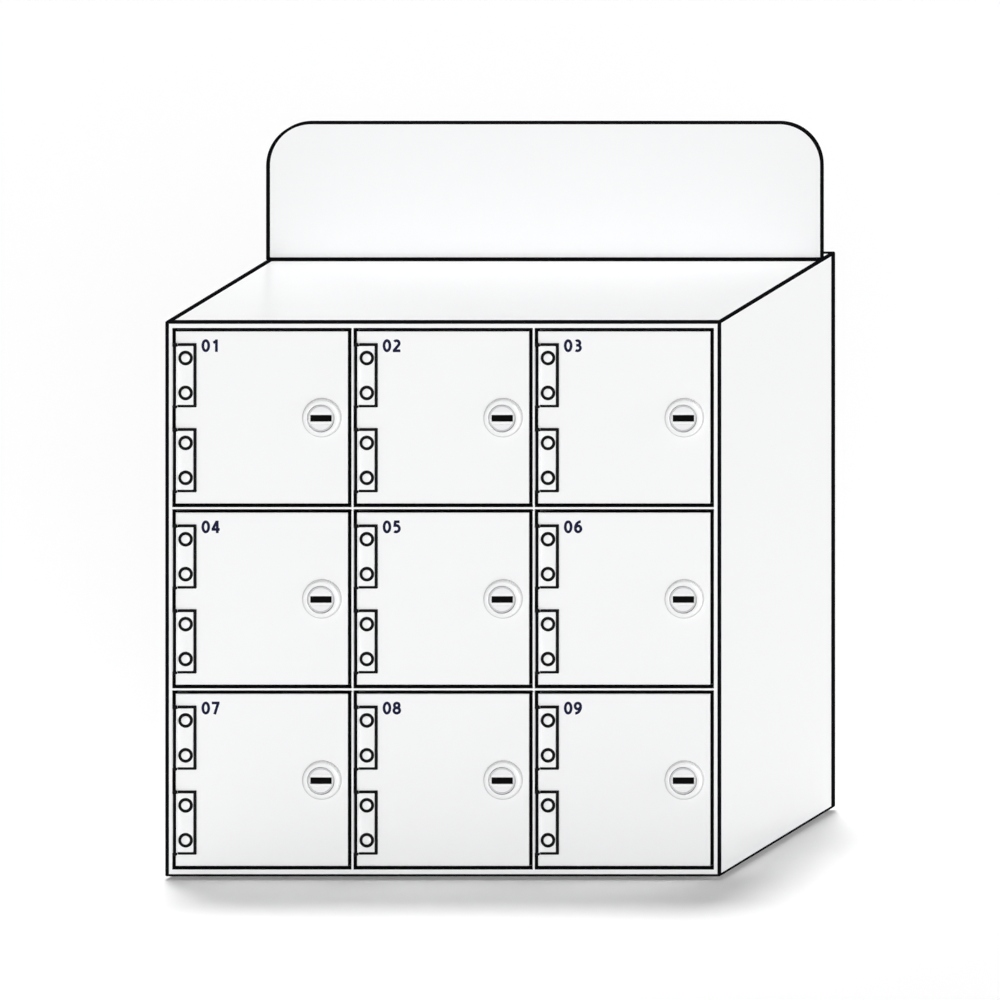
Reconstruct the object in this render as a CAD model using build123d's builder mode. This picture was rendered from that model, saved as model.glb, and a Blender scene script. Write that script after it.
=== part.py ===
from build123d import *
import os

# Nine-door phone locker box: a white sheet-plastic case with an egg-crate of shelves and
# dividers, nine inset doors on surface hinges, nine cam locks, and a header board on top.
# Millimetres, +Z up, doors facing -Y. The origin is the middle of the footprint, on the floor.

# ---- Driving dimensions: case ----
columns = 3
rows = 3
cell_width = 105.0
cell_height = 105.0
depth = 170.0
wall = 5.0
divider = 3.0
outer_arris = 0.6        # chamfer along the outside edges of the case
sheet_arris = 0.6        # chamfer along the front edges of shelves, dividers and openings
back_sheet = 3.0
back_inset = 4.0         # the back panel lies this far inside the rear edge
groove = 1.5             # depth of the grooves that hold shelves, dividers and back
groove_stop = 8.0        # shelf and divider grooves stop this far behind the front
fit = 0.1                # clearance on each side of a tongue, tab or slot

# ---- Driving dimensions: header board ----
header_height = 82.0
header_thickness = 4.0
header_inset = 17.0      # from the rear of the case to the back of the board
header_radius = 26.0
header_arris = 0.4
tab_width = 40.0
tab_offset = 100.0       # from the middle of the board to the middle of a tab
tab_relief = 0.5         # a tab ends this far above the underside of the top panel

# ---- Driving dimensions: feet ----
foot_side = 12.0
foot_height = 2.0
foot_inset = 16.0        # from the outer faces to the middle of a foot

# ---- Driving dimensions: doors ----
door_thickness = 4.0
door_gap = 1.2           # all round each door
door_arris = 0.4

# ---- Driving dimensions: hinges ----
leaf_thickness = 1.0
leaf_height = 38.2
door_leaf_reach = 13.8   # from the edge of the door opening to the end of the door leaf
case_leaf_reach = 12.0   # from the case front to the end of the case leaf
hinge_offset = 25.3      # from the middle of the door to the middle of a hinge
barrel_radius = 1.5
ear_radius = 1.35        # the ears that carry the pin stay inside the swing of the door
ear_thickness = 1.2
barrel_clearance = 0.2   # from the barrel to each ear, and from a leaf to the other leaf

# ---- Driving dimensions: cam locks ----
lock_inset = 15.2        # from the free edge of the door to the lock axis
bezel_radius = 11.7
bezel_proud = 2.6
lock_case_radius = 9.5
lock_case_flats = 17.8   # across the two flats that keep the lock from turning in the door
lock_case_length = 10.0  # from the door front to the rear of the lock case and its nut
hole_clearance = 0.15    # round the lock case in the door
nut_across_flats = 22.0
plug_radius = 8.0
plug_clearance = 0.15
face_recess = 0.4        # the plug face lies this far inside the bezel
band_height = 7.2
band_depth = 0.4
keyway_width = 12.6
keyway_height = 3.7
keyway_depth = 6.0
cam_gap = 0.3            # between the lock case and the cam
cam_thickness = 2.0
cam_width = 12.0
cam_reach = 15.0         # from the lock axis to the tip
cam_heel = 7.0           # from the lock axis to the other end
cam_clip = 2.5
tail_side = 7.0          # square tail of the plug that drives the cam
screw_across_flats = 10.0
screw_head = 3.0

# ---- Driving dimensions: lock strikes ----
strike_width = 4.0
strike_height = 20.0
door_rest = 0.2          # between a closed door and its strike
cam_clearance = 0.3      # between a strike and the turned cam

# ---- Worked-out places ----
inner_width = columns * cell_width + (columns - 1) * divider
inner_height = rows * cell_height + (rows - 1) * divider
width = inner_width + 2 * wall
height = inner_height + 2 * wall
column_pitch = cell_width + divider
row_pitch = cell_height + divider
proud = max(2 * barrel_radius, bezel_proud)
front_y = (proud - depth) / 2
case_z = foot_height
middle_z = case_z + height / 2
top_z = case_z + height
sheet_depth = depth - back_inset - back_sheet   # shelves run from the front to the back panel
half_lap = sheet_depth / 2
shelf_heights = [middle_z + (i - (rows - 2) / 2) * row_pitch for i in range(rows - 1)]
divider_places = [(i - (columns - 2) / 2) * column_pitch for i in range(columns - 1)]
door_width = cell_width - 2 * door_gap
door_height = cell_height - 2 * door_gap
header_front_y = front_y + depth - header_inset - header_thickness
header_middle_y = header_front_y + header_thickness / 2
cam_front = lock_case_length + cam_gap
strike_front = door_thickness + door_rest
strike_rear = cam_front - cam_clearance

# (number, middle x, middle z) of each compartment, counted along the rows from the top left
cells = [
    (
        row * columns + column + 1,
        (column - (columns - 1) / 2) * column_pitch,
        middle_z + ((rows - 1) / 2 - row) * row_pitch,
    )
    for row in range(rows)
    for column in range(columns)
]

os.makedirs("parts", exist_ok=True)


def save(piece, name):
    """Labels a finished sub-part and writes it as its own STEP file."""
    piece.part.label = name
    export_step(piece.part, f"parts/{name}.step")


def upright(x, y, z):
    """A plane that faces the front, with its own +X along the case and its own +Y upward."""
    return Plane(origin=(x, y, z), x_dir=(1, 0, 0), z_dir=(0, -1, 0))


# ---- Case walls ----
def wall_panel(outer, along, inward, length, places):
    """A mitred wall of the case, grooved for the back panel and for a sheet at each place.

    outer is the middle of its outer face at the case front, along its long direction and
    inward the direction into the case.
    """
    end = length / 2
    profile = Plane(origin=outer, x_dir=along, z_dir=(0, 1, 0))
    inner = Plane(origin=outer + inward * wall, x_dir=along, z_dir=inward)
    with BuildPart() as panel:
        with BuildSketch(profile):
            with BuildLine():
                Polyline(
                    (-end + outer_arris, 0),
                    (end - outer_arris, 0),
                    (end - outer_arris / 2, outer_arris / 2),
                    (end - wall, wall),
                    (-end + wall, wall),
                    (-end + outer_arris / 2, outer_arris / 2),
                    close=True,
                )
            make_face()
        extrude(amount=depth)
        ends = panel.faces().filter_by(Axis.Y)
        rim = ends.edges().filter_by(
            lambda edge: (edge.center() - outer).dot(inward) < outer_arris / 2
        )
        chamfer(rim, outer_arris / 2)
        opening = (
            panel.faces()
            .sort_by(Axis.Y)[0]
            .edges()
            .filter_by(lambda edge: abs((edge.center() - outer).dot(inward) - wall) < fit)
        )
        chamfer(opening, sheet_arris / 2)
        # Local +Y of the inner face runs towards the front of the case.
        with BuildSketch(inner):
            run = sheet_depth - groove_stop
            with Locations(*[(place, -groove_stop - run / 2) for place in places]):
                Rectangle(divider + 2 * fit, run)
            with Locations((0, -sheet_depth - back_sheet / 2)):
                Rectangle(length - 2 * (wall - groove - fit), back_sheet + 2 * fit)
        extrude(amount=-groove - fit, mode=Mode.SUBTRACT)
    return panel


left_side = wall_panel(
    Vector(-width / 2, front_y, middle_z),
    Vector(0, 0, 1),
    Vector(1, 0, 0),
    height,
    [place - middle_z for place in shelf_heights],
)
save(left_side, "left_side_panel")

right_side = wall_panel(
    Vector(width / 2, front_y, middle_z),
    Vector(0, 0, -1),
    Vector(-1, 0, 0),
    height,
    [middle_z - place for place in shelf_heights],
)
save(right_side, "right_side_panel")

bottom = wall_panel(
    Vector(0, front_y, case_z),
    Vector(-1, 0, 0),
    Vector(0, 0, 1),
    width,
    [-place for place in divider_places],
)
save(bottom, "bottom_panel")

top_wall = wall_panel(
    Vector(0, front_y, top_z), Vector(1, 0, 0), Vector(0, 0, -1), width, divider_places
)
with BuildPart() as top:
    add(top_wall.part)
    with BuildSketch(Plane.XY.offset(top_z)):
        with Locations((-tab_offset, header_middle_y), (tab_offset, header_middle_y)):
            Rectangle(tab_width + 2 * fit, header_thickness + 2 * fit)
    extrude(amount=-wall, mode=Mode.SUBTRACT)
save(top, "top_panel")

with BuildPart() as back:
    with BuildSketch(upright(0, front_y + sheet_depth, middle_z)):
        Rectangle(inner_width + 2 * groove, inner_height + 2 * groove)
    extrude(amount=-back_sheet)
save(back, "back_panel")


# ---- Shelves and dividers: an egg-crate, half-lapped where the sheets cross ----
def crate_sheet(plane, span, crossings, slots_at_rear):
    """A sheet that spans the case, with tongues for the wall grooves and half-lap slots.

    On its plane, local +X runs along the sheet and local +Y from the front to the back.
    """
    tongue_start = groove_stop + fit
    slot_depth = half_lap + fit
    slot_middle = sheet_depth - slot_depth / 2 if slots_at_rear else slot_depth / 2
    with BuildPart() as sheet:
        with BuildSketch(plane):
            with Locations((0, sheet_depth / 2)):
                Rectangle(span, sheet_depth)
            with Locations((0, (tongue_start + sheet_depth) / 2)):
                Rectangle(span + 2 * groove, sheet_depth - tongue_start)
            with Locations(*[(crossing, slot_middle) for crossing in crossings]):
                Rectangle(divider + 2 * fit, slot_depth, mode=Mode.SUBTRACT)
        extrude(amount=divider / 2, both=True)
        front_edges = sheet.faces().sort_by(Axis.Y)[0]
        level = front_edges.center().Y
        rim = sheet.edges().filter_by(
            lambda edge: abs(edge.center().Y - level) < fit and edge.length > divider + fit
        )
        chamfer(rim, sheet_arris)
    return sheet


for name, shelf_z in zip(("lower_shelf", "upper_shelf"), shelf_heights):
    shelf_plane = Plane(origin=(0, front_y, shelf_z), x_dir=(1, 0, 0), z_dir=(0, 0, 1))
    save(crate_sheet(shelf_plane, inner_width, divider_places, True), name)

for name, divider_x in zip(("left_divider", "right_divider"), divider_places):
    divider_plane = Plane(origin=(divider_x, front_y, middle_z), x_dir=(0, 0, -1), z_dir=(1, 0, 0))
    crossings = [middle_z - place for place in shelf_heights]
    save(crate_sheet(divider_plane, inner_height, crossings, False), name)


# ---- Header board ----
with BuildPart() as header:
    with BuildSketch(upright(0, header_front_y, top_z)):
        with Locations((0, header_height / 2)):
            board = Rectangle(width, header_height)
        fillet(board.vertices().group_by(Axis.Y)[-1], header_radius)
    extrude(amount=-header_thickness)
    chamfer(header.faces().sort_by(Axis.Y)[0].edges(), header_arris)
    with BuildSketch(Plane.XY.offset(top_z)):
        with Locations((-tab_offset, header_middle_y), (tab_offset, header_middle_y)):
            Rectangle(tab_width, header_thickness)
    extrude(amount=-(wall - tab_relief))
save(header, "header_board")

# ---- Feet ----
with BuildPart() as feet:
    with BuildSketch(Plane.XY):
        with Locations((0, front_y + depth / 2)):
            with GridLocations(width - 2 * foot_inset, depth - 2 * foot_inset, 2, 2):
                Rectangle(foot_side, foot_side)
    extrude(amount=foot_height)
save(feet, "feet")

# ---- Lock strikes: each stops its door and holds its cam ----
with BuildPart() as strikes:
    for number, cell_x, cell_z in cells:
        strike_x = cell_x + cell_width / 2 - strike_width / 2
        with BuildSketch(upright(strike_x, front_y + strike_front, cell_z)):
            Rectangle(strike_width, strike_height)
        extrude(amount=strike_front - strike_rear)
save(strikes, "lock_strikes")


# ---- Hinges ----
def hinge_axis(cell_x):
    """The x and y of a door's hinge pins: the barrels stand on the case front."""
    return cell_x - cell_width / 2 + barrel_radius, front_y - barrel_radius


def hinge_middles(cell_z):
    return cell_z - hinge_offset, cell_z + hinge_offset


def block(x_range, y_range):
    """A rectangle of the current sketch between two x values and two y values."""
    (x_low, x_high), (y_low, y_high) = x_range, y_range
    with Locations(((x_low + x_high) / 2, (y_low + y_high) / 2)):
        Rectangle(x_high - x_low, y_high - y_low)


barrel_height = leaf_height - 2 * (ear_thickness + barrel_clearance)

# The case leaf lies on the wall beside the door and holds the pin between its two ears.
with BuildPart() as case_leaves:
    for number, cell_x, cell_z in cells:
        pin_x, pin_y = hinge_axis(cell_x)
        wall_x = cell_x - cell_width / 2
        leaf_x = (wall_x, wall_x + leaf_thickness)
        for hinge_z in hinge_middles(cell_z):
            low_z = hinge_z - leaf_height / 2
            with BuildSketch(Plane.XY.offset(low_z)):
                block(leaf_x, (front_y + barrel_clearance, front_y + case_leaf_reach))
            extrude(amount=leaf_height)
            for ear_z in (low_z, low_z + leaf_height - ear_thickness):
                with BuildSketch(Plane.XY.offset(ear_z)):
                    with Locations((pin_x, pin_y)):
                        RegularPolygon(ear_radius, 8, rotation=22.5)
                    block(leaf_x, (pin_y, front_y + barrel_clearance))
                extrude(amount=ear_thickness)
save(case_leaves, "case_hinge_leaves")


def door_leaf(pin_x, pin_y, hinge_z):
    """One door leaf: a plate on the door front, curled into a barrel between the ears."""
    plate_start = pin_x + ear_radius + barrel_clearance
    plate_end = pin_x - barrel_radius + door_leaf_reach
    plate_y = (front_y - leaf_thickness, front_y)
    with BuildPart() as leaf:
        with BuildSketch(Plane.XY.offset(hinge_z)):
            block((plate_start, plate_end), plate_y)
        extrude(amount=leaf_height / 2, both=True)
        with BuildSketch(Plane.XY.offset(hinge_z)):
            with Locations((pin_x, pin_y)):
                Circle(barrel_radius)
            block((pin_x, plate_start), plate_y)
        extrude(amount=barrel_height / 2, both=True)
    return leaf.part


# ---- Doors, with their hinge leaves and cam locks ----
for number, cell_x, cell_z in cells:
    lock_x = cell_x + door_width / 2 - lock_inset
    pin_x, pin_y = hinge_axis(cell_x)

    with BuildPart() as door:
        with BuildSketch(upright(cell_x, front_y, cell_z)):
            Rectangle(door_width, door_height)
        extrude(amount=-door_thickness)
        chamfer(door.faces().sort_by(Axis.Y)[0].edges(), door_arris)
        with BuildSketch(upright(lock_x, front_y, cell_z)):
            Circle(lock_case_radius + hole_clearance)
            across = lock_case_flats + 2 * hole_clearance
            Rectangle(2 * bezel_radius, across, mode=Mode.INTERSECT)
        extrude(amount=-door_thickness, mode=Mode.SUBTRACT)
    save(door, f"door_{number:02d}")

    # Two hinge leaves and the lock case, which carries its bezel and its nut.
    leaves = [door_leaf(pin_x, pin_y, hinge_z) for hinge_z in hinge_middles(cell_z)]
    lock_face = upright(lock_x, front_y, cell_z)
    with BuildPart() as fittings:
        add(leaves)
        with BuildSketch(lock_face):
            Circle(bezel_radius)
        extrude(amount=bezel_proud)
        with BuildSketch(lock_face):
            Circle(lock_case_radius)
            Rectangle(2 * bezel_radius, lock_case_flats, mode=Mode.INTERSECT)
        extrude(amount=-door_thickness)
        with BuildSketch(lock_face.offset(-door_thickness)):
            RegularPolygon(nut_across_flats / 2, 6, major_radius=False, rotation=30)
        extrude(amount=-(lock_case_length - door_thickness))
        with BuildSketch(lock_face.offset(bezel_proud)):
            Circle(plug_radius + plug_clearance)
        extrude(amount=-(bezel_proud + lock_case_length), mode=Mode.SUBTRACT)
    save(fittings, f"door_{number:02d}_fittings")

    plug_face = lock_face.offset(bezel_proud - face_recess)
    with BuildPart() as plug:
        with BuildSketch(plug_face):
            Circle(plug_radius)
        extrude(amount=-(bezel_proud - face_recess + cam_front))
        with BuildSketch(plug_face):
            Rectangle(2 * plug_radius, band_height)
        extrude(amount=-band_depth, mode=Mode.SUBTRACT)
        with BuildSketch(plug_face):
            Rectangle(keyway_width, keyway_height)
        extrude(amount=-keyway_depth, mode=Mode.SUBTRACT)
        with BuildSketch(lock_face.offset(-cam_front)):
            Rectangle(tail_side, tail_side)
        extrude(amount=-cam_thickness)
    save(plug, f"lock_{number:02d}_plug")

    # The cam points up while the lock is open; its screw head clamps it on the square tail.
    with BuildPart() as cam:
        with BuildSketch(lock_face.offset(-cam_front)):
            with Locations((0, (cam_reach - cam_heel) / 2)):
                bar = Rectangle(cam_width, cam_reach + cam_heel)
            chamfer(bar.vertices().group_by(Axis.Y)[-1], cam_clip)
            Rectangle(tail_side + 2 * fit, tail_side + 2 * fit, mode=Mode.SUBTRACT)
        extrude(amount=-cam_thickness)
        with BuildSketch(lock_face.offset(-cam_front - cam_thickness)):
            RegularPolygon(screw_across_flats / 2, 6, major_radius=False)
        extrude(amount=-screw_head)
    save(cam, f"lock_{number:02d}_cam")
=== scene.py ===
import math
import operator
from functools import cached_property, reduce

import bmesh
import bpy
from mathutils import Matrix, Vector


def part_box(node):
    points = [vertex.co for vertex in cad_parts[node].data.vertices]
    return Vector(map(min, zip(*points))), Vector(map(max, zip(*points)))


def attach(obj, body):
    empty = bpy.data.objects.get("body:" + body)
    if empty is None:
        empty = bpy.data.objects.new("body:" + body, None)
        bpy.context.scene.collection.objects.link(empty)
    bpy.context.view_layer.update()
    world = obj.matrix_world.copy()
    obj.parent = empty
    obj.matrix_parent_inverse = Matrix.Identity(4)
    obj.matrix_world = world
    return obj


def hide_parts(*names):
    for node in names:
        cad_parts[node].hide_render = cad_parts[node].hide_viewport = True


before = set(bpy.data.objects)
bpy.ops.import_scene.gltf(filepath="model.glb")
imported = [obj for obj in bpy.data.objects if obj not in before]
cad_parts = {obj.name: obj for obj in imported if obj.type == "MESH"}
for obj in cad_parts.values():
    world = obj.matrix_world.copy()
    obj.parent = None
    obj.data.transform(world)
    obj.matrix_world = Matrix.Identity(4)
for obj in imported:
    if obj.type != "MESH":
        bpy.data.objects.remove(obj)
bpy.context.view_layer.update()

MM = 0.001

# ---- Places, read from the frame ----
side_low, side_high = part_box("left_side_panel")
header_low, header_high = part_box("header_board")
HALF_WIDTH = -side_low.x
FRONT, BACK = side_low.y, side_high.y
BASE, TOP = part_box("bottom_panel")[0].z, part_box("top_panel")[1].z
MIDDLE = (BASE + TOP) / 2


def door_place(number):
    """The middle of a door, at the height of the case front."""
    low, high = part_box(f"door_{number:02d}")
    return (low.x + high.x) / 2, FRONT, (low.z + high.z) / 2


DOORS = {number: door_place(number) for number in range(1, 10)}
PITCH = DOORS[2][0] - DOORS[1][0]

# ---- Sizes in millimetres, from the middle of a door and inward from its front ----
# The profiles of turned parts are (radius, depth) points, and an outline's are (across, up).
OPENING_EDGE = -52.5
HINGE_MIDDLES = (-25.3, 25.3)
PIN_X, PIN_Y = -51.0, -1.5
PIN_END = [(0.95, 0.0), (0.95, 0.2), (0.6, 0.42), (0.0, 0.48)]
BARREL_RADIUS, BARREL_HALF = 1.5, 17.7
BARREL_RIM, BARREL_BORE, BARREL_ARRIS = 1.3, 0.9, 0.2
EAR_RADIUS, EAR_HEIGHT, EAR_ROOT = 1.35, 1.2, 0.6
LEAF_HALF = 19.1
LEAF_LEFT, LEAF_RIGHT = -49.75, -38.7
LEAF_FRONT, LEAF_CORNER, LEAF_ARRIS = -0.75, 0.4, 0.12
ROOT_RIGHT, ROOT_FRONT, ROOT_BACK = LEAF_LEFT + 0.8, -0.7, -0.05
FACE_LEFT, FACE_FRONT, FACE_BACK, FACE_CORNER = -49.6, -1.0, -0.7, 0.3
FACE_MARGIN, FACE_MARGIN_RIGHT = 1.6, 1.65
WALL_LEAF_THICK, WALL_LEAF_CORNER, WALL_LEAF_ARRIS = 1.0, 1.2, 0.15
WALL_LEAF_START, WALL_LEAF_END = 0.2, 12.0
RIVET_X, RIVET_SPREAD, RIVET_HOLE = -44.95, 10.4, 4.4
RIVET_HEAD = [
    (2.55, -0.7), (2.55, -1.05), (2.3, -1.35), (1.7, -1.55), (0.9, -1.65), (0.0, -1.68)
]
WALL_RIVET_Y = 7.6
WALL_RIVET_HEAD = [(2.4, 0.0), (2.4, 0.2), (2.0, 0.5), (1.1, 0.72), (0.0, 0.78)]

LOCK_X = 36.1
BEZEL_FRONT = -2.6
CASE_REAR = 10.0
BEZEL = [
    (11.05, -0.3),
    (11.0, -1.4),
    (10.75, -2.1),
    (10.2, -2.5),
    (9.6, BEZEL_FRONT),
    (8.55, BEZEL_FRONT),
    (8.2, -2.3),
    (8.15, CASE_REAR),
    (9.2, CASE_REAR),
    (9.2, -0.3),
]
SEAL = [(11.7, 0.0), (11.7, -0.6), (11.5, -0.9), (10.9, -0.9), (10.9, 0.0)]
NUT_FRONT, NUT_BACK, NUT_CORNER, NUT_BORE = 4.0, 9.0, 12.7, 9.0
THREAD = [(9.5, 4.0), (9.5, 9.6), (9.2, CASE_REAR), (8.6, CASE_REAR), (8.6, 4.0)]
PLUG_RADIUS, PLUG_FRONT = 8.0, -2.2
PLUG_RIM = [
    (PLUG_RADIUS, 0.4),
    (PLUG_RADIUS, -1.95),
    (7.75, PLUG_FRONT),
    (7.15, PLUG_FRONT),
    (6.97, -2.0),
    (6.97, 0.4),
]
SEGMENT_RADIUS, SEGMENT_BACK = 6.95, -1.5
BAND_RADIUS, BAND_FRONT, BAND_BACK, BAND_HALF = 6.98, -1.8, 0.39, 3.55
KEYWAY_LONG, KEYWAY_TALL = 6.4, 1.98
KEYWAY_FRONT, KEYWAY_BACK = -1.5, 0.38
KEYWAY_GAP, KEYWAY_CORNER = 0.02, 0.3
CAM_FRONT, CAM_BACK = 10.3, 12.3
PLUG_BODY = [(PLUG_RADIUS, 0.41), (PLUG_RADIUS, CAM_FRONT), (0.0, CAM_FRONT)]
CAM_OUTLINE = [(-6, -7), (6, -7), (6, 12.5), (3.5, 15), (-3.5, 15), (-6, 12.5)]
TAIL_HALF, TAIL_HOLE_HALF = 3.5, 3.6
WASHER_BACK = 12.9
WASHER = [(5.6, CAM_BACK), (5.6, 12.75), (5.4, WASHER_BACK), (0.0, WASHER_BACK)]
SCREW_CORNER, SCREW_BACK = 5.7, 15.3

# ---- Black trims, and black painted shade in the door gaps: widths in millimetres from the edges that they follow ----
FRONT_TRIMS = {"left": 2.3, "right": 1.8, "over": 1.65, "under": 1.4}
END_TRIMS = {"left": 4.9, "right": 2.0, "front": 2.8, "back": 6.0}
SIDE_TRIMS = {"over": 1.5, "under": 1.8, "front": 1.3, "back": 6.1}
BACK_TRIMS = {"left": 1.8, "right": 1.8, "over": 1.6, "under": 1.6}
TRIM_SKIN = 0.4            # how far in from its face a trim reaches
# Round each compartment's mouth the black is partly a thin line on the front face and partly
# painted shade on the inner faces, in the gap round the door.
MOUTH_HALF = 53.4          # from the middle of a compartment to the outside of its black band
MOUTH_SHIFT = 0.2          # how far these bands lie to the right
MOUTH_DEPTH = 6.0
MOUTH_MARGIN = 3.4         # these bands start this far in from the outside of the case
GASKET_FRONT, GASKET_UNDER = 3.3, 1.0
HEADER_RADIUS, HEADER_LINE = 26.0, 1.6
HEADER_RIGHT, HEADER_UP = 0.95, 0.43       # how far its trim lies to the right, and up
SHEET_EDGE = 0.5           # a surface that faces forward less than this is a sheet's edge
BARREL_LINE = (-0.5, 0.75)      # the black line down a barrel, by how far it faces right


# ---- Shader maths ----
class Wire:
    """A value in a finish; sums, products and comparisons on it add their own nodes."""

    def __init__(self, finish, socket):
        self.finish, self.socket = finish, socket

    def _math(self, operation, *values):
        return self.finish.node("ShaderNodeMath", {"operation": operation}, *values)

    def __add__(self, other):
        return self._math("ADD", self, other)

    def __radd__(self, other):
        return self._math("ADD", other, self)

    def __sub__(self, other):
        return self._math("SUBTRACT", self, other)

    def __rsub__(self, other):
        return self._math("SUBTRACT", other, self)

    def __mul__(self, other):
        return self._math("MULTIPLY", self, other)

    def __rmul__(self, other):
        return self._math("MULTIPLY", other, self)

    def __lt__(self, other):
        return self._math("LESS_THAN", self, other)

    def __gt__(self, other):
        return self._math("GREATER_THAN", self, other)

    def __and__(self, other):
        return self._math("MULTIPLY", self, other)

    def __or__(self, other):
        return self._math("MAXIMUM", self, other)

    def __abs__(self):
        return self._math("ABSOLUTE", self)

    def lesser(self, other):
        return self._math("MINIMUM", self, other)

    def greater(self, other):
        return self._math("MAXIMUM", self, other)

    def folded(self, reach):
        """Runs up to reach and back down again, over and over."""
        return self._math("PINGPONG", self, reach)

    def root(self):
        return self._math("SQRT", self)


class Finish:
    """A material, or the light of the room, under construction."""

    def __init__(self, data, shader="Principled BSDF"):
        data.use_nodes = True
        self.data, self.tree = data, data.node_tree
        self.shader = self.tree.nodes[shader]

    @classmethod
    def named(cls, name):
        return cls(bpy.data.materials.new(name))

    @cached_property
    def place(self):
        """Where a point lies in the piece's own axes."""
        return self.node("ShaderNodeTexCoord", {}, out="Object")

    def node(self, kind, settings, *values, out=0, **sockets):
        """Adds a node: settings first, then its sockets in order, or by identifier."""
        node = self.tree.nodes.new(kind)
        for key, value in settings.items():
            setattr(node, key, value)
        for key, value in [*enumerate(values), *sockets.items()]:
            self.feed(self.input(node, key), value)
        if isinstance(out, str):
            socket = next(s for s in node.outputs if s.identifier == out)
        else:
            socket = node.outputs[out]
        return Wire(self, socket)

    def input(self, node, key):
        if isinstance(key, int):
            return node.inputs[key]
        return next(s for s in node.inputs if s.identifier == key)

    def feed(self, socket, value):
        if isinstance(value, Wire):
            self.tree.links.new(value.socket, socket)
        elif isinstance(value, tuple) and socket.type == "RGBA":
            socket.default_value = (*value, 1)
        else:
            socket.default_value = value

    def parts(self, vector):
        """The three numbers that make up a vector."""
        split = self.node("ShaderNodeSeparateXYZ", {}, vector)
        return [Wire(self, output) for output in split.socket.node.outputs]

    def facing(self):
        """The parts of the surface normal, in the piece's own axes."""
        return self.parts(self.node("ShaderNodeTexCoord", {}, out="Normal"))

    def grain(self, scale, detail=2.0, stretch=(1, 1, 1)):
        """Fine noise from 0 to 1, drawn out along an axis by a small stretch."""
        place = self.node(
            "ShaderNodeVectorMath", {"operation": "MULTIPLY"}, self.place, stretch
        )
        return self.node(
            "ShaderNodeTexNoise", {}, out="Fac", Vector=place, Scale=scale, Detail=detail
        )

    def blend(self, amount, first, second):
        """Mixes two colours by an amount from 0 to 1."""
        return self.node(
            "ShaderNodeMix",
            {"data_type": "RGBA"},
            out="Result_Color",
            Factor_Float=amount,
            A_Color=first,
            B_Color=second,
        )

    def relief(self, height, strength, distance):
        return self.node(
            "ShaderNodeBump", {}, Height=height, Strength=strength, Distance=distance
        )

    def set(self, **sockets):
        for key, value in sockets.items():
            self.feed(self.shader.inputs[key.replace("_", " ")], value)
        return self.data

    def seen(self):
        """1 for what the camera, a gloss or a clear part sees directly."""
        camera, gloss, clear = (
            self.node("ShaderNodeLightPath", {}, out=f"Is {ray} Ray")
            for ray in ("Camera", "Glossy", "Transmission")
        )
        return camera | gloss | clear

    def cover(self, edge):
        """Puts dull black lacquer wherever edge is 1; in the gaps round the doors this black is
        painted shade.
        """
        black = self.node(
            "ShaderNodeBsdfPrincipled",
            {},
            **{
                "Base Color": self.blend(self.grain(350.0), BLACK_TRIM_AND_SHADE, BLACK_TRIM_AND_SHADE_WORN),
                "Roughness": 0.5 + 0.2 * self.grain(700.0),
                "Specular IOR Level": 0.0,
            },
        )
        whole = self.node(
            "ShaderNodeMixShader", {}, edge, Wire(self, self.shader.outputs[0]), black
        )
        self.tree.links.new(whole.socket, self.tree.nodes["Material Output"].inputs[0])


# ---- Colours ----
SHEET_WHITE = (0.885, 0.888, 0.892)
SHEET_SHADE = (0.868, 0.872, 0.878)
# Painted shade: the header's white is darker than the case sheet's, to offset the extra light
# that the top panel throws on the header.
HEADER_WHITE_PAINTED_SHADE = (0.838, 0.841, 0.845)
HEADER_TONE_PAINTED_SHADE = (0.824, 0.828, 0.834)
ENAMEL_WHITE = (0.86, 0.865, 0.87)
# These blacks are the trims and the hinge lacquer, and also the painted shade in the gaps round
# the doors.
BLACK_TRIM_AND_SHADE = (0.002, 0.002, 0.0025)
BLACK_TRIM_AND_SHADE_WORN = (0.007, 0.007, 0.008)


def sheet_finish(name, trim, white=SHEET_WHITE, shade=SHEET_SHADE):
    """Gloss white plastic sheet, black where the given mask is 1: black trim, and painted shade
    in the gaps round the doors.
    """
    f = Finish.named(name)
    cloud = f.grain(9.0)
    peel = f.grain(900.0, detail=3.0)
    scuffs = f.grain(260.0, detail=6.0, stretch=(1.0, 1.0, 0.12))
    f.cover(trim(f))
    return f.set(
        Base_Color=f.blend(cloud, white, shade),
        Roughness=0.27 + 0.10 * scuffs,
        Normal=f.relief(peel, 0.12, 0.0001),
        IOR=1.49,
    )


def trims(reach, widths):
    """1 where a trim lies: within its width of the edge that it follows."""
    return reduce(operator.or_, [reach[edge] < width * MM for edge, width in widths.items()])


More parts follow.
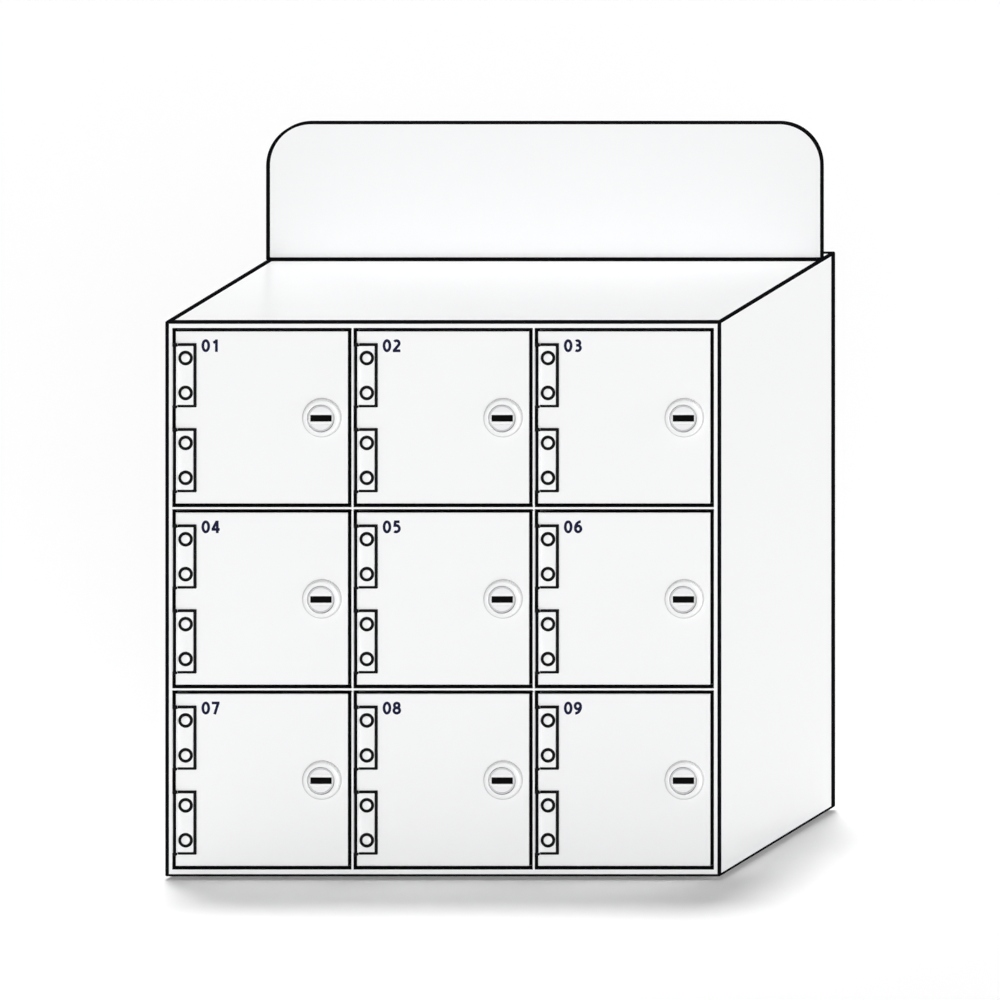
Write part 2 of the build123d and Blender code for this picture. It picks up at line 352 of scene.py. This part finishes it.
def case_trim_and_gap_shade(f):
    """Black trim along the outer edges of the case; round the mouth of each compartment,
    painted shade on the inner faces in the door gap and a thin black line on the front face.
    """
    x, y, z = f.parts(f.place)
    reach = {
        "left": x + HALF_WIDTH,
        "right": HALF_WIDTH - x,
        "over": TOP - z,
        "under": z - BASE,
        "front": y - FRONT,
        "back": BACK - y,
    }
    side = reach["left"].lesser(reach["right"])
    end = reach["over"].lesser(reach["under"])
    skin = TRIM_SKIN * MM
    # Painted shade: black on the inner faces near the front, in the gap round each door, with a
    # thin black line on the front face.
    mouth = (
        (side > MOUTH_MARGIN * MM)
        & (end > MOUTH_MARGIN * MM)
        & (reach["front"] < MOUTH_DEPTH * MM)
        & ((x - MOUTH_SHIFT * MM).folded(PITCH / 2) < MOUTH_HALF * MM)
        & ((z - MIDDLE).folded(PITCH / 2) < MOUTH_HALF * MM)
    )
    gasket = (
        (reach["over"] < skin)
        & (y < header_low.y + GASKET_UNDER * MM)
        & (y > header_low.y - GASKET_FRONT * MM)
    )
    return (
        (reach["front"] < skin) & trims(reach, FRONT_TRIMS)
        | (end < skin) & trims(reach, END_TRIMS)
        | (side < skin) & trims(reach, SIDE_TRIMS)
        | (reach["back"] < skin) & trims(reach, BACK_TRIMS)
        | mouth
        | gasket
    )


def door_gap_shade(f):
    """Black on the edge faces of a door, which face into the gap round it: painted shade that
    makes the gap read black.
    """
    _, facing_y, _ = f.facing()
    return abs(facing_y) < SHEET_EDGE


def header_trim(f):
    """Black round the outline of the header, along its foot and on its edges."""
    x, _, z = f.parts(f.place)
    _, facing_y, _ = f.facing()
    radius, line = HEADER_RADIUS * MM, HEADER_LINE * MM
    across = abs(x - HEADER_RIGHT * MM) - (header_high.x - radius)
    above = (z - HEADER_UP * MM) - (header_high.z - radius)
    corner_x, corner_z = across.greater(0.0), above.greater(0.0)
    reach = (corner_x * corner_x + corner_z * corner_z).root()
    inner = across.greater(above).lesser(0.0)
    rim = (radius - reach - inner) < line
    foot = (z - TOP) < line
    return rim | foot | (abs(facing_y) < SHEET_EDGE)


def enamel_finish(name, lined=False):
    """Stove-enamelled metal, white, with a faint ripple."""
    f = Finish.named(name)
    if lined:
        facing_x, _, _ = f.facing()
        f.cover((facing_x > BARREL_LINE[0]) & (facing_x < BARREL_LINE[1]))
    return f.set(
        Base_Color=f.blend(f.grain(60.0), ENAMEL_WHITE, SHEET_SHADE),
        Roughness=0.24 + 0.12 * f.grain(700.0),
        Normal=f.relief(f.grain(1400.0), 0.08, 0.00006),
    )


def black_finish(name):
    """Black lacquered steel with a slight grain."""
    f = Finish.named(name)
    return f.set(
        Base_Color=f.blend(f.grain(300.0, detail=5.0), BLACK_TRIM_AND_SHADE, BLACK_TRIM_AND_SHADE_WORN),
        Roughness=0.38 + 0.2 * f.grain(900.0),
        Normal=f.relief(f.grain(1800.0), 0.15, 0.00005),
        Specular_IOR_Level=0.05,
    )


def metal_finish(name, light, dark, rough, stretch):
    """Bare metal with brushing along one direction."""
    f = Finish.named(name)
    brushing = f.grain(2200.0, detail=4.0, stretch=stretch)
    return f.set(
        Base_Color=f.blend(brushing, light, dark),
        Metallic=1.0,
        Roughness=rough + 0.14 * brushing,
        Normal=f.relief(brushing, 0.2, 0.00003),
    )


def plain_finish(name, first, second, rough, scale, strength, gleam=0.5):
    """Moulded or printed matter with a fine grain."""
    f = Finish.named(name)
    grain = f.grain(scale, detail=4.0)
    return f.set(
        Base_Color=f.blend(grain, first, second),
        Roughness=rough + 0.15 * grain,
        Normal=f.relief(grain, strength, 0.00008),
        Specular_IOR_Level=gleam,
    )


CASE_SHEET = sheet_finish("case_sheet", case_trim_and_gap_shade)
# The doors' edge faces are painted black as shade, so the gaps round them read black.
DOOR_SHEET = sheet_finish("door_sheet", door_gap_shade)
# The header sheet takes the darker white, painted shade.
HEADER_SHEET_PAINTED_SHADE = sheet_finish("header_sheet_painted_shade", header_trim, HEADER_WHITE_PAINTED_SHADE, HEADER_TONE_PAINTED_SHADE)
STRIKE_BLOCK = enamel_finish("strike_block")
ENAMEL = enamel_finish("white_enamel")
BARREL_ENAMEL = enamel_finish("barrel_enamel", lined=True)
BLACK = black_finish("black_lacquer")
CAM_STEEL = metal_finish(
    "cam_steel", (0.62, 0.62, 0.63), (0.48, 0.48, 0.49), 0.26, stretch=(1, 1, 0.06)
)
NUT_STEEL = metal_finish(
    "nut_steel", (0.66, 0.65, 0.63), (0.52, 0.51, 0.49), 0.22, stretch=(0.1, 1, 1)
)
FACE_METAL = metal_finish(
    "lock_face", (0.80, 0.80, 0.81), (0.72, 0.72, 0.73), 0.34, stretch=(0.05, 1, 1)
)
RIM_METAL = metal_finish(
    "lock_rim", (0.61, 0.61, 0.62), (0.54, 0.54, 0.55), 0.3, stretch=(1, 1, 1)
)
# A seal ring lies at the foot of each bezel, but its grey is painted shadow: it stands in for
# the shadow line round the bezel.
BEZEL_SEAL_PAINTED_SHADOW = plain_finish(
    "bezel_seal_painted_shadow", (0.60, 0.60, 0.60), (0.54, 0.54, 0.54), 0.5, 1500.0, 0.1, gleam=0.3
)
# Painted shadow: the shallow key slot gets a near-black bottom that stands in for the darkness
# of a deep keyway.
KEYWAY_PAINTED_SHADOW = plain_finish(
    "keyway_painted_shadow", (0.0015, 0.0015, 0.0015), (0.004, 0.004, 0.004), 0.5, 900.0, 0.1, gleam=0.02
)
NUMBER_INK = plain_finish(
    "number_ink", (0.005, 0.006, 0.028), (0.008, 0.009, 0.042), 0.5, 1200.0, 0.05, gleam=0.12
)
RUBBER = plain_finish(
    "foot_rubber", (0.02, 0.02, 0.021), (0.035, 0.035, 0.036), 0.7, 800.0, 0.3
)


# ---- Making pieces ----
def facing_front(u, v, d):
    """Outline across and up the front of a door, depth into the case."""
    return u, d, v


def facing_down(u, v, d):
    """Outline on the floor, depth upward."""
    return u, v, d


def offset(loop, amount):
    """Moves every side of a closed outline inward; an outline runs anticlockwise."""
    moved = []
    count = len(loop)
    for i, (u, v) in enumerate(loop):
        (u0, v0), (u1, v1) = loop[i - 1], loop[(i + 1) % count]
        before, after = math.hypot(u - u0, v - v0), math.hypot(u1 - u, v1 - v)
        n0 = (-(v - v0) / before, (u - u0) / before)
        n1 = (-(v1 - v) / after, (u1 - u) / after)
        scale = amount / (1 + n0[0] * n1[0] + n0[1] * n1[1])
        moved.append((u + (n0[0] + n1[0]) * scale, v + (n0[1] + n1[1]) * scale))
    return moved


def rectangle(left, low, right, high, radius=0.0, steps=5):
    """An outline with rounded corners."""
    if not radius:
        return [(left, low), (right, low), (right, high), (left, high)]
    corners = [
        (right - radius, low + radius, -90),
        (right - radius, high - radius, 0),
        (left + radius, high - radius, 90),
        (left + radius, low + radius, 180),
    ]
    return [
        (
            cu + radius * math.cos(math.radians(start + 90 * i / steps)),
            cv + radius * math.sin(math.radians(start + 90 * i / steps)),
        )
        for cu, cv, start in corners
        for i in range(steps + 1)
    ]


def circle(cu, cv, radius, count=48, start=0.0):
    """Points round a circle; six of them make a hexagon."""
    turns = [start + 2 * math.pi * i / count for i in range(count)]
    return [(cu + radius * math.cos(t), cv + radius * math.sin(t)) for t in turns]


class Blank:
    """A mesh under the tools, in millimetres from the middle of its door or case."""

    def __init__(self):
        self.bm = bmesh.new()
        self.finishes = []

    def use(self, finish):
        if finish not in self.finishes:
            self.finishes.append(finish)
        self.current = self.finishes.index(finish)
        return self

    def ring(self, points):
        return [self.bm.verts.new(point) for point in points]

    def face(self, corners, smooth=False):
        face = self.bm.faces.new(corners)
        face.material_index, face.smooth = self.current, smooth

    def skin(self, rings, smooth=False):
        """Joins each ring of points to the next with a band of faces."""
        for first, second in zip(rings, rings[1:]):
            for i in range(len(first)):
                j = (i + 1) % len(first)
                self.face((first[i], first[j], second[j], second[i]), smooth)

    def cap(self, rings):
        """Fills a flat face inside the first ring, leaving the other rings open as holes."""
        edges = []
        for ring in rings:
            for i, vert in enumerate(ring):
                pair = (vert, ring[(i + 1) % len(ring)])
                edges.append(self.bm.edges.get(pair) or self.bm.edges.new(pair))
        filled = bmesh.ops.triangle_fill(self.bm, edges=edges, use_beauty=True)
        for face in filled["geom"]:
            if isinstance(face, bmesh.types.BMFace):
                face.material_index = self.current

    def plate(self, way, outline, front, back, arris=0.0, holes=(), steps=2):
        """A sheet cut to an outline, with holes, its front edges rounded by the arris."""
        towards = 1 if back > front else -1
        depths = [
            (arris * (1 - math.sin(t)), front + towards * arris * (1 - math.cos(t)))
            for t in [math.pi / 2 * i / steps for i in range(steps + 1)]
        ]
        stages = depths + [(0.0, back)] if arris else [(0.0, front), (0.0, back)]
        ends = []
        for loop, side in [(outline, 1), *[(hole, -1) for hole in holes]]:
            rings = [
                self.ring(way(u, v, depth) for u, v in offset(loop, side * inset))
                for inset, depth in stages
            ]
            self.skin(rings)
            ends.append((rings[0], rings[-1]))
        self.cap([first for first, _ in ends])
        self.cap([last for _, last in ends])

    def rounds(self, way, centre, profile, count):
        """A ring of points for each (radius, depth) of a profile."""
        return [
            self.ring(way(u, v, depth) for u, v in circle(*centre, radius, count))
            for radius, depth in profile
        ]

    def turned(self, way, centre, profile, count=64):
        """A solid part turned on an axis; where its radius is 0, it comes to a point."""
        solid = [(max(radius, 1e-4), depth) for radius, depth in profile]
        rings = self.rounds(way, centre, solid, count)
        self.skin(rings, smooth=True)
        self.face(rings[0])
        self.face(rings[-1])

    def tube(self, way, centre, profile, count=64):
        """A turned ring whose profile closes on itself."""
        rings = self.rounds(way, centre, profile, count)
        self.skin([*rings, rings[0]], smooth=True)

    def finish(self, name, body, place, slot, stands_for=()):
        """Sets the piece down at its place, in metres, riding on its body."""
        bmesh.ops.recalc_face_normals(self.bm, faces=self.bm.faces[:])
        mesh = bpy.data.meshes.new(name)
        self.bm.transform(Matrix.Translation(place) @ Matrix.Scale(MM, 4))
        self.bm.to_mesh(mesh)
        self.bm.free()
        for finish in self.finishes:
            mesh.materials.append(finish)
        piece = bpy.data.objects.new(name, mesh)
        bpy.context.scene.collection.objects.link(piece)
        sharpen(piece)
        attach(piece, body)
        if stands_for:
            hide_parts(*stands_for)
        return piece


def sharpen(piece, angle=35.0):
    """Keeps edges steeper than the angle crisp on a smooth piece."""
    mesh = piece.data
    bm = bmesh.new()
    bm.from_mesh(mesh)
    for edge in bm.edges:
        if len(edge.link_faces) == 2:
            edge.smooth = edge.calc_face_angle(0.0) < math.radians(angle)
    bm.to_mesh(mesh)
    bm.free()


# ---- CAD parts that keep their shape ----
SHEET_PARTS = {
    CASE_SHEET: [
        "left_side_panel",
        "right_side_panel",
        "top_panel",
        "bottom_panel",
        "back_panel",
        "lower_shelf",
        "upper_shelf",
        "left_divider",
        "right_divider",
    ],
    HEADER_SHEET_PAINTED_SHADE: ["header_board"],
    STRIKE_BLOCK: ["lock_strikes"],
    DOOR_SHEET: [f"door_{number:02d}" for number in DOORS],
}
for finish, names in SHEET_PARTS.items():
    for name in names:
        for material_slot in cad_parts[name].material_slots:
            material_slot.material = finish


# ---- Hinges ----
def rivet_spots(middle):
    """The heights of the two rivets in a leaf."""
    return middle - RIVET_SPREAD, middle + RIVET_SPREAD


def door_leaves(number, place):
    """Both hinge leaves of a door: lacquered plates under white faces, curled into barrels."""
    body = f"door_{number:02d}"
    plates, faces = Blank().use(BLACK), Blank()
    for middle in HINGE_MIDDLES:
        low, high = middle - LEAF_HALF, middle + LEAF_HALF
        barrel_low, barrel_high = middle - BARREL_HALF, middle + BARREL_HALF
        plates.plate(
            facing_front,
            rectangle(LEAF_LEFT, low, LEAF_RIGHT, high, LEAF_CORNER),
            LEAF_FRONT,
            0.0,
            LEAF_ARRIS,
        )
        plates.plate(
            facing_front,
            rectangle(PIN_X, barrel_low, ROOT_RIGHT, barrel_high),
            ROOT_FRONT,
            ROOT_BACK,
        )
        faces.use(ENAMEL).plate(
            facing_front,
            rectangle(
                FACE_LEFT,
                low + FACE_MARGIN,
                LEAF_RIGHT - FACE_MARGIN_RIGHT,
                high - FACE_MARGIN,
                FACE_CORNER,
            ),
            FACE_FRONT,
            FACE_BACK,
            LEAF_ARRIS,
            holes=[circle(RIVET_X, spot, RIVET_HOLE) for spot in rivet_spots(middle)],
        )
        for spot in rivet_spots(middle):
            faces.turned(facing_front, (RIVET_X, spot), RIVET_HEAD, 40)
        faces.use(BARREL_ENAMEL).turned(
            facing_down,
            (PIN_X, PIN_Y),
            [
                (BARREL_BORE, barrel_low),
                (BARREL_RIM, barrel_low),
                (BARREL_RADIUS, barrel_low + BARREL_ARRIS),
                (BARREL_RADIUS, barrel_high - BARREL_ARRIS),
                (BARREL_RIM, barrel_high),
                (BARREL_BORE, barrel_high),
            ],
            32,
        )
    plates.finish(f"{body}_leaf_plates", body, place, "hinge_metal", [f"{body}_fittings"])
    faces.finish(f"{body}_leaf_faces", body, place, "fittings_metal")


def case_leaves():
    """The leaves on the walls of the case, their ears, pins and rivets."""
    leaves, pins = Blank().use(BLACK), Blank().use(BLACK)
    leaf_face = OPENING_EDGE + WALL_LEAF_THICK
    for x, _, z in DOORS.values():
        across, up = x / MM, z / MM

        def on_wall(u, v, d):
            return across + d, u, up + v

        def round_pin(u, v, d):
            return across + u, v, up + d

        for middle in HINGE_MIDDLES:
            low, high = middle - LEAF_HALF, middle + LEAF_HALF
            leaves.plate(
                on_wall,
                rectangle(WALL_LEAF_START, low, WALL_LEAF_END, high, WALL_LEAF_CORNER),
                leaf_face,
                OPENING_EDGE,
                WALL_LEAF_ARRIS,
            )
            for ear_low in (low, high - EAR_HEIGHT):
                ear_high = ear_low + EAR_HEIGHT
                leaves.plate(
                    round_pin, circle(PIN_X, PIN_Y, EAR_RADIUS, 24), ear_high, ear_low
                )
                leaves.plate(
                    on_wall,
                    rectangle(PIN_Y, ear_low, EAR_ROOT, ear_high),
                    leaf_face,
                    OPENING_EDGE + WALL_LEAF_ARRIS,
                )
            for end, way in ((high, 1), (low, -1)):
                pin_end = [(radius, end + way * rise) for radius, rise in PIN_END]
                pins.turned(round_pin, (PIN_X, PIN_Y), pin_end, 24)
            for spot in rivet_spots(middle):
                head = [(radius, leaf_face + rise) for radius, rise in WALL_RIVET_HEAD]
                pins.turned(on_wall, (WALL_RIVET_Y, spot), head, 32)
    origin = (0.0, FRONT, 0.0)
    leaves.finish("case_hinge_plates", "case", origin, "hinge_metal", ["case_hinge_leaves"])
    pins.finish("case_hinge_pins", "case", origin, "hinge_metal")


# ---- Locks ----
LOCK_CENTRE = (LOCK_X, 0.0)


def on_lock(half_width, half_height, radius=0.0):
    """A rectangle about the axis of the lock."""
    return rectangle(
        LOCK_X - half_width, -half_height, LOCK_X + half_width, half_height, radius
    )


def lock_case(number, place):
    """The bezel and barrel of a cam lock, with a grey ring at the bezel's foot whose grey is
    painted shadow, and the nut that clamps it behind the door.
    """
    body = f"door_{number:02d}"
    case = Blank().use(ENAMEL)
    case.tube(facing_front, LOCK_CENTRE, BEZEL)
    # The ring at the bezel's foot takes the grey that paints its shadow line.
    case.use(BEZEL_SEAL_PAINTED_SHADOW).tube(facing_front, LOCK_CENTRE, SEAL)
    case.finish(f"{body}_lock_case", body, place, "fittings_metal", [f"{body}_fittings"])
    nut = Blank().use(NUT_STEEL)
    nut.plate(
        facing_front,
        circle(*LOCK_CENTRE, NUT_CORNER, 6, start=math.pi / 6),
        NUT_BACK,
        NUT_FRONT,
        0.5,
        holes=[circle(*LOCK_CENTRE, NUT_BORE)],
        steps=3,
    )
    nut.tube(facing_front, LOCK_CENTRE, THREAD)
    nut.finish(f"{body}_lock_nut", body, place, "fittings_metal")


def segment(low_edge, sign, radius, count=28):
    """The part of a disc above or below a level line."""
    start = math.asin(low_edge / radius)
    turns = [start + (math.pi - 2 * start) * i / count for i in range(count + 1)]
    loop = [(LOCK_X + radius * math.cos(t), sign * radius * math.sin(t)) for t in turns]
    return loop if sign > 0 else loop[::-1]


def lock_plug(number, place):
    """The turning plug: a grey rim, two brushed segments, a white band and the keyway, a
    shallow slot whose near-black bottom is painted shadow.
    """
    body = f"lock_{number:02d}"
    plug = Blank().use(FACE_METAL)
    for sign in (1, -1):
        plug.plate(
            facing_front,
            segment(BAND_HALF, sign, SEGMENT_RADIUS),
            PLUG_FRONT,
            SEGMENT_BACK,
            0.12,
        )
    plug.use(ENAMEL).plate(
        facing_front,
        circle(*LOCK_CENTRE, BAND_RADIUS, 64),
        BAND_FRONT,
        BAND_BACK,
        holes=[on_lock(KEYWAY_LONG + KEYWAY_GAP, KEYWAY_TALL + KEYWAY_GAP, KEYWAY_CORNER)],
    )
    plug.use(RIM_METAL).tube(facing_front, LOCK_CENTRE, PLUG_RIM)
    plug.use(KEYWAY_PAINTED_SHADOW).plate(
        facing_front, on_lock(KEYWAY_LONG, KEYWAY_TALL), KEYWAY_FRONT, KEYWAY_BACK
    )
    plug.use(NUT_STEEL).turned(facing_front, LOCK_CENTRE, PLUG_BODY)
    plug.finish(f"{body}_face", body, place, "lock_metal", [f"{body}_plug"])


def lock_cam(number, place):
    """The cam and the screw that holds it, behind the door."""
    body = f"lock_{number:02d}"
    cam = Blank().use(CAM_STEEL)
    cam.plate(
        facing_front,
        [(LOCK_X + u, v) for u, v in CAM_OUTLINE],
        CAM_FRONT,
        CAM_BACK,
        0.25,
        holes=[on_lock(TAIL_HOLE_HALF, TAIL_HOLE_HALF)],
    )
    cam.use(NUT_STEEL).plate(
        facing_front, on_lock(TAIL_HALF, TAIL_HALF), CAM_FRONT, CAM_BACK
    )
    cam.turned(facing_front, LOCK_CENTRE, WASHER, 40)
    cam.plate(
        facing_front,
        circle(*LOCK_CENTRE, SCREW_CORNER, 6),
        SCREW_BACK,
        WASHER_BACK,
        0.35,
        steps=3,
    )
    cam.finish(f"{body}_cam_and_screw", body, place, "cam_steel", [f"{body}_cam"])


# ---- Numbers ----
NUMBER_LEFT, NUMBER_LOW, NUMBER_STEP = -35.0, 39.8, 5.85
PEN = 1.62
INK, INK_LAYER = 0.06, 0.005


def arc(cu, cv, ru, rv, start, end, count=14):
    """Points along part of an oval, by its angles in degrees."""
    turns = [math.radians(start + (end - start) * i / count) for i in range(count + 1)]
    return [(cu + ru * math.cos(t), cv + rv * math.sin(t)) for t in turns]


# Middle lines of the figures, on a body 3.5 wide and 6.1 high, from the lower left.
FIGURES = {
    0: [arc(1.75, 3.05, 1.75, 3.05, 90, 450, 40)],
    1: [[(0.4, 4.75), (1.95, 5.7)], [(2.25, 6.75), (2.25, -0.65)]],
    2: [arc(1.6, 4.45, 1.6, 1.6, 145, -30, 16) + [(0.35, 0.45)], [(-0.6, 0.0), (3.9, 0.0)]],
    3: [
        arc(1.5, 4.65, 1.4, 1.4, 135, -75, 18),
        arc(1.45, 1.65, 1.75, 1.65, 78, -130, 20),
        [(0.7, 3.3), (2.0, 3.3)],
    ],
    4: [[(2.5, 6.4), (0.1, 1.75)], [(-0.6, 1.55), (4.2, 1.55)], [(2.75, 6.75), (2.75, -0.65)]],
    5: [
        [(0.15, 6.1), (3.4, 6.1)],
        [(0.75, 6.0), (0.55, 3.0)],
        arc(1.4, 2.0, 1.9, 1.95, 112, -128, 20),
    ],
    6: [arc(3.3, 1.8, 3.2, 4.35, 88, 172, 14), arc(1.85, 1.85, 1.65, 1.8, 0, 360, 32)],
    7: [[(-0.5, 6.1), (4.1, 6.1)], [(3.4, 6.3), (1.2, -0.65)]],
    8: [arc(1.75, 4.65, 1.45, 1.45, 0, 360, 28), arc(1.75, 1.6, 1.75, 1.6, 0, 360, 32)],
    9: [arc(0.2, 4.3, 3.2, 4.35, -92, -8, 14), arc(1.65, 4.25, 1.65, 1.8, 0, 360, 32)],
}


def stroke(blank, points, across, up, front):
    """One line of a figure, drawn with a broad pen whose ends are square."""
    closed = math.dist(points[0], points[-1]) < 1e-6
    if closed:
        points = points[:-1]
    count = len(points)
    rings = []
    for i, (u, v) in enumerate(points):
        last, following = points[i - 1], points[(i + 1) % count]
        if not closed:
            last, following = points[max(i - 1, 0)], points[min(i + 1, count - 1)]
        run = math.dist(last, following)
        nu = (last[1] - following[1]) / run * PEN / 2
        nv = (following[0] - last[0]) / run * PEN / 2
        left, right = (across + u + nu, up + v + nv), (across + u - nu, up + v - nv)
        rings.append(
            blank.ring(
                facing_front(*edge, depth)
                for edge, depth in ((left, front), (left, 0.0), (right, 0.0), (right, front))
            )
        )
    if closed:
        blank.skin([*rings, rings[0]])
    else:
        blank.skin(rings)
        blank.face(rings[0])
        blank.face(rings[-1])


def door_number(number, place):
    """The number printed beside the upper hinge."""
    ink = Blank().use(NUMBER_INK)
    for step, figure in enumerate((0, number)):
        left = NUMBER_LEFT + NUMBER_STEP * step
        for layer, line in enumerate(FIGURES[figure]):
            stroke(ink, line, left, NUMBER_LOW, -INK - INK_LAYER * layer)
    ink.finish(f"door_{number:02d}_number", f"door_{number:02d}", place, "fittings_metal")


case_leaves()
for number, place in DOORS.items():
    door_leaves(number, place)
    lock_case(number, place)
    lock_plug(number, place)
    lock_cam(number, place)
    door_number(number, place)


# ---- Feet ----
FOOT_HALF, FOOT_HEIGHT = 6, 2.0
FOOT_PLACES = [(x, y) for x in (-149.5, 149.5) for y in (16.0, 154.0)]


def rubber_feet():
    """Four moulded pads under the case."""
    feet = Blank().use(RUBBER)
    for x, y in FOOT_PLACES:
        pad = rectangle(x - FOOT_HALF, y - FOOT_HALF, x + FOOT_HALF, y + FOOT_HALF, 1.5)
        feet.plate(facing_down, pad, 0.0, FOOT_HEIGHT, 0.4)
    feet.finish("rubber_feet", "case", (0.0, FRONT, 0.0), "foot_rubber", ["feet"])


rubber_feet()


# ---- Floor ----
FLOOR_WHITE = (1.0, 1.0, 1.0)
FLOOR_REFLECTED = (0.72, 0.72, 0.72)
FLOOR_LIFT = (0.04, 0.04, 0.04)
FLOOR_REACH = 40.0


def white_floor():
    """A wide pale floor that keeps the shadow."""
    f = Finish.named("floor_paper")
    f.set(
        Base_Color=f.blend(f.seen(), FLOOR_REFLECTED, FLOOR_WHITE),
        Roughness=0.9,
        Specular_IOR_Level=0.0,
        Emission_Color=f.blend(f.seen(), (0.0, 0.0, 0.0), FLOOR_LIFT),
        Emission_Strength=1.0,
    )
    mesh = bpy.data.meshes.new("floor")
    square = rectangle(-FLOOR_REACH, -FLOOR_REACH, FLOOR_REACH, FLOOR_REACH)
    mesh.from_pydata([(x, y, 0.0) for x, y in square], [], [(0, 1, 2, 3)])
    mesh.materials.append(f.data)
    floor = bpy.data.objects.new("floor", mesh)
    bpy.context.scene.collection.objects.link(floor)


white_floor()


# ---- Light ----
ROOM_LIGHT = 0.20
# Each lamp's azimuth, elevation, strength and softness. Azimuth 0 is in front of the case
# and 90 at its right; all angles are in degrees.
LAMPS = {
    "overhead_lamp": (208, 75, 1.87, 10),
    "front_lamp": (24, 9, 2.04, 18),
    "side_lamp": (90, 10, 0.97, 20),
    "rear_lamp": (225, 10, 1.0, 20),
}


def sun(name, azimuth, elevation, strength, softness):
    """A broad soft lamp."""
    lamp = bpy.data.lights.new(name, "SUN")
    lamp.energy, lamp.angle = strength, math.radians(softness)
    holder = bpy.data.objects.new(name, lamp)
    holder.rotation_euler = (math.radians(90 - elevation), 0.0, math.radians(azimuth))
    bpy.context.scene.collection.objects.link(holder)
    return holder


lamps = {name: sun(name, *setting) for name, setting in LAMPS.items()}
# The header board keeps no shadow of the overhead lamp on the top panel.
unshaded = bpy.data.collections.new("unshaded")
unshaded.objects.link(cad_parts["header_board"])
unshaded.collection_objects[0].light_linking.link_state = "EXCLUDE"
lamps["overhead_lamp"].light_linking.blocker_collection = unshaded


def studio_world():
    """An even white room; what the camera and mirrors see of it is plain white."""
    world = bpy.data.worlds.new("studio")
    f = Finish(world, "Background")
    f.set(Color=(1.0, 1.0, 1.0), Strength=ROOM_LIGHT + (1.0 - ROOM_LIGHT) * f.seen())
    bpy.context.scene.world = world


studio_world()
bpy.context.scene.view_settings.view_transform = "Standard"


# ---- Camera ----
RIGHT_PER_DEPTH, UP_PER_DEPTH = 0.4028, 0.2445
VIEW_WIDTH = 0.596
VIEW_X, VIEW_Z, VIEW_DISTANCE = 0.00047, 0.20595, 3.0


def oblique_camera():
    """A parallel view of the case front, square on, with its depth running up and right."""
    length = math.hypot(RIGHT_PER_DEPTH, 1.0, UP_PER_DEPTH)
    holder = bpy.data.objects.new("camera_holder", None)
    lens = bpy.data.cameras.new("camera")
    lens.type, lens.ortho_scale = "ORTHO", VIEW_WIDTH
    lens.clip_start, lens.clip_end = 0.01, 100.0
    camera = bpy.data.objects.new("camera", lens)
    for item in (holder, camera):
        bpy.context.scene.collection.objects.link(item)
    camera.parent = holder
    camera.matrix_parent_inverse = Matrix(
        (
            (1, 0, RIGHT_PER_DEPTH / length, 0),
            (0, 0, -1.0 / length, 0),
            (0, 1, UP_PER_DEPTH / length, 0),
            (0, 0, 0, 1),
        )
    )
    camera.location = (VIEW_X, VIEW_Z, VIEW_DISTANCE)
    bpy.context.scene.camera = camera


oblique_camera()
